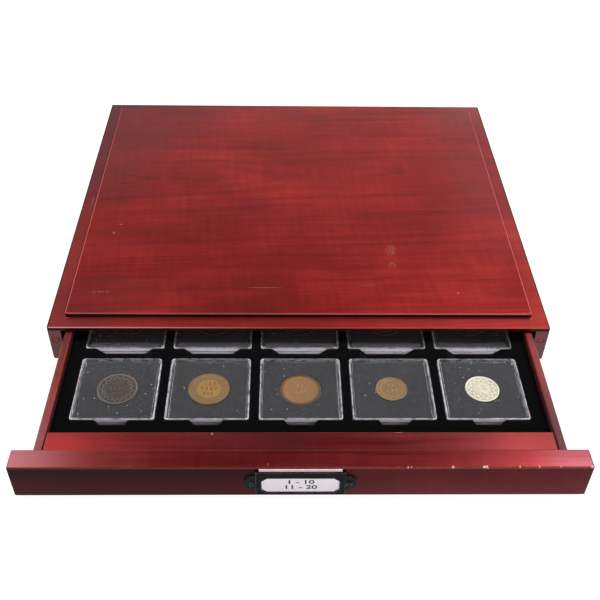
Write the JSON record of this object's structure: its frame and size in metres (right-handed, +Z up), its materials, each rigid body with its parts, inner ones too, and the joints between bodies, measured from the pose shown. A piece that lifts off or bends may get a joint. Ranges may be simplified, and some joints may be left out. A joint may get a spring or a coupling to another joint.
{
  "type": "coin display case",
  "caption": "Flat red-brown wooden case with one wide drawer, a flocked tray of square clear coin capsules and a label holder.",
  "frame": {"origin": "on the surface that the foot pads stand on, below the middle of the bounding box with the drawer open as at rest", "axes": "+Z up, -Y the way the drawer opens, +X to the right seen from the drawer's front"},
  "size_m": [0.326, 0.3992, 0.0331],
  "materials": {
    "top_wood": "satin red-brown stain with a figured grain",
    "case_wood": "satin dark red-brown stain",
    "front_wood": "satin dark red-brown stain with worn edges",
    "drawer_wood": "satin red stain, more worn",
    "plug_wood": "end grain, stained",
    "panel_wood": "bare plywood and strips",
    "flock": "black flock",
    "felt": "black felt",
    "clear_plastic": "clear acrylic",
    "foam": "dark grey foam sheet",
    "dark_bronze": "dark toned bronze",
    "gold_bronze": "golden brown bronze",
    "brown_bronze": "brown bronze",
    "light_bronze": "light brown bronze",
    "silver": "struck silver",
    "black_metal": "black satin paint on sheet metal",
    "card": "matt card, bare"
  },
  "bodies": {
    "case": {"case_top": "top_wood", "case_side_left": "case_wood", "case_side_right": "case_wood", "plug_left": "plug_wood", "plug_right": "plug_wood", "case_back": "case_wood", "case_bottom": "panel_wood", "drawer_guide_left": "panel_wood", "drawer_guide_right": "panel_wood", "drawer_stop": "panel_wood", "foot_pad_1": "felt", "foot_pad_2": "felt", "foot_pad_3": "felt", "foot_pad_4": "felt"},
    "drawer": {"drawer_front": "front_wood", "drawer_rail": "drawer_wood", "drawer_side_left": "drawer_wood", "drawer_side_right": "drawer_wood", "drawer_back": "drawer_wood", "drawer_bottom": "panel_wood", "tray": "flock", "label_frame": "black_metal", "label_screw_left": "black_metal", "label_screw_right": "black_metal", "capsule_row2_1": "clear_plastic", "capsule_row2_2": "clear_plastic", "capsule_row2_3": "clear_plastic", "capsule_row2_4": "clear_plastic", "capsule_row2_5": "clear_plastic", "capsule_row3_1": "clear_plastic", "capsule_row3_2": "clear_plastic", "capsule_row3_3": "clear_plastic", "capsule_row3_4": "clear_plastic", "capsule_row3_5": "clear_plastic", "capsule_row4_1": "clear_plastic", "capsule_row4_2": "clear_plastic", "capsule_row4_3": "clear_plastic", "capsule_row4_4": "clear_plastic", "capsule_row4_5": "clear_plastic"},
    "card": {"label_card": "card"},
    "capsule_1": {"capsule_base_1": "clear_plastic", "foam_insert_1": "foam", "coin_1": "dark_bronze"},
    "lid_1": {"capsule_lid_1": "clear_plastic"},
    "capsule_2": {"capsule_base_2": "clear_plastic", "foam_insert_2": "foam", "coin_2": "gold_bronze"},
    "lid_2": {"capsule_lid_2": "clear_plastic"},
    "capsule_3": {"capsule_base_3": "clear_plastic", "foam_insert_3": "foam", "coin_3": "brown_bronze"},
    "lid_3": {"capsule_lid_3": "clear_plastic"},
    "capsule_4": {"capsule_base_4": "clear_plastic", "foam_insert_4": "foam", "coin_4": "light_bronze"},
    "lid_4": {"capsule_lid_4": "clear_plastic"},
    "capsule_5": {"capsule_base_5": "clear_plastic", "foam_insert_5": "foam", "coin_5": "silver"},
    "lid_5": {"capsule_lid_5": "clear_plastic"}
  },
  "joints": [
    {"name": "drawer_slide", "type": "slide", "parent": "case", "child": "drawer", "axis": [0, -1, 0], "range_m": [-0.0972, 0.157]},
    {"name": "card_slide", "type": "slide", "parent": "drawer", "child": "card", "axis": [0, 0, 1], "range_m": [0, 0.02]},
    {"name": "capsule_lift_1", "type": "slide", "parent": "drawer", "child": "capsule_1", "axis": [0, 0, 1], "range_m": [0, 0.02]},
    {"name": "lid_lift_1", "type": "slide", "parent": "capsule_1", "child": "lid_1", "axis": [0, 0, 1], "range_m": [0, 0.012]},
    {"name": "capsule_lift_2", "type": "slide", "parent": "drawer", "child": "capsule_2", "axis": [0, 0, 1], "range_m": [0, 0.02]},
    {"name": "lid_lift_2", "type": "slide", "parent": "capsule_2", "child": "lid_2", "axis": [0, 0, 1], "range_m": [0, 0.012]},
    {"name": "capsule_lift_3", "type": "slide", "parent": "drawer", "child": "capsule_3", "axis": [0, 0, 1], "range_m": [0, 0.02]},
    {"name": "lid_lift_3", "type": "slide", "parent": "capsule_3", "child": "lid_3", "axis": [0, 0, 1], "range_m": [0, 0.012]},
    {"name": "capsule_lift_4", "type": "slide", "parent": "drawer", "child": "capsule_4", "axis": [0, 0, 1], "range_m": [0, 0.02]},
    {"name": "lid_lift_4", "type": "slide", "parent": "capsule_4", "child": "lid_4", "axis": [0, 0, 1], "range_m": [0, 0.012]},
    {"name": "capsule_lift_5", "type": "slide", "parent": "drawer", "child": "capsule_5", "axis": [0, 0, 1], "range_m": [0, 0.02]},
    {"name": "lid_lift_5", "type": "slide", "parent": "capsule_5", "child": "lid_5", "axis": [0, 0, 1], "range_m": [0, 0.012]}
  ]
}
